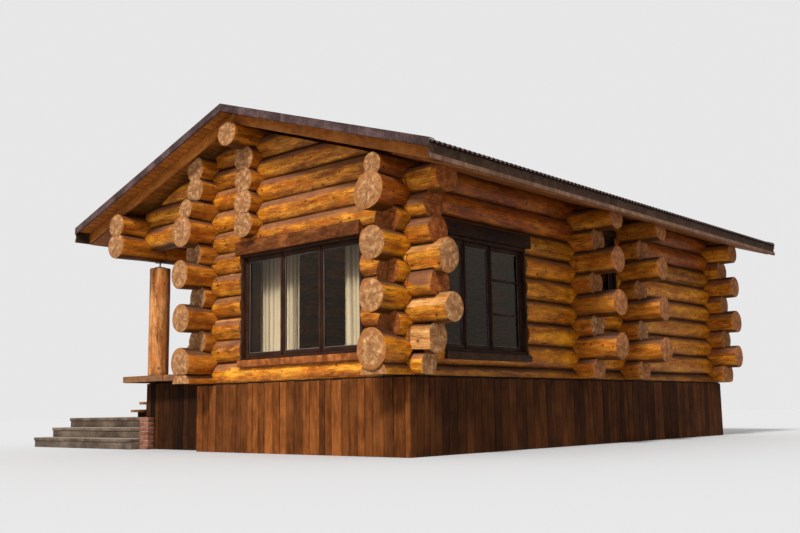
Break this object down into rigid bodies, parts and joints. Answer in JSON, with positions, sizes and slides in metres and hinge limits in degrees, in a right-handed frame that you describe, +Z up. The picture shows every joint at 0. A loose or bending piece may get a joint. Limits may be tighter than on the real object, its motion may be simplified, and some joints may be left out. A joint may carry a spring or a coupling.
{
  "type": "log cabin",
  "caption": "Cabin of round notched logs on a boarded skirt, with a low gable roof, three windows, a covered side veranda on posts and steps.",
  "frame": {"origin": "on the ground, under the middle of the cabin with its steps", "axes": "+Z up, +X to the right along the front gable wall, +Y from the front gable to the rear gable"},
  "size_m": [10.01, 10.41, 4.9343],
  "materials": {
    "stained_logs": "honey stain, weathered tops",
    "pale_logs": "yellow stain",
    "dark_trim": "dark brown stain",
    "skirt_boards": "red-brown stain",
    "orange_boards": "orange stain",
    "deck_planks": "weathered stain",
    "fascia_boards": "grey-brown stain",
    "floor_boards": "varnished",
    "roof_sheet": "ribbed bitumen sheet, matt",
    "roof_flashing": "brown, satin",
    "steel": "galvanized",
    "rail_paint": "white, satin",
    "window_glass": "clear",
    "curtain_cloth": "sheer, gathered",
    "concrete": "weathered concrete, rough",
    "brick": "red brick, rough"
  },
  "bodies": {
    "root": {"barge_boards": "orange_boards", "brick_pier": "brick", "curtain_rail": "rail_paint", "deck_bearers": "skirt_boards", "end_plinths": "skirt_boards", "entrance_door": "dark_trim", "entrance_frame": "dark_trim", "fascias": "fascia_boards", "front_curtains": "curtain_cloth", "front_wall_even_logs": "stained_logs", "front_wall_odd_logs": "stained_logs", "front_window_frame": "dark_trim", "hall_walls_even_logs": "stained_logs", "hall_walls_odd_logs": "stained_logs", "hall_window_frame": "dark_trim", "left_wall_even_logs": "stained_logs", "left_wall_odd_logs": "stained_logs", "lower_steps": "concrete", "post_jacks": "steel", "rafters": "orange_boards", "rake_caps": "roof_flashing", "rear_wall_even_logs": "stained_logs", "rear_wall_odd_logs": "stained_logs", "ridge_cap": "roof_flashing", "ridge_purlin": "stained_logs", "ridge_stack_even_logs": "stained_logs", "ridge_stack_odd_logs": "stained_logs", "right_wall_even_logs": "pale_logs", "right_wall_odd_logs": "pale_logs", "roof_sheathing": "orange_boards", "roof_sheets": "roof_sheet", "room_floors": "floor_boards", "side_plinths": "skirt_boards", "side_window_frame": "dark_trim", "soffits": "fascia_boards", "stair_stringers": "skirt_boards", "upper_treads": "deck_planks", "veranda_deck": "deck_planks", "veranda_end_skirts": "skirt_boards", "veranda_lower_beam": "stained_logs", "veranda_posts": "stained_logs", "veranda_side_skirt": "skirt_boards", "veranda_upper_beam": "stained_logs", "window_glass": "window_glass", "window_lintels": "dark_trim", "window_sills": "dark_trim"}
  },
  "joints": []
}
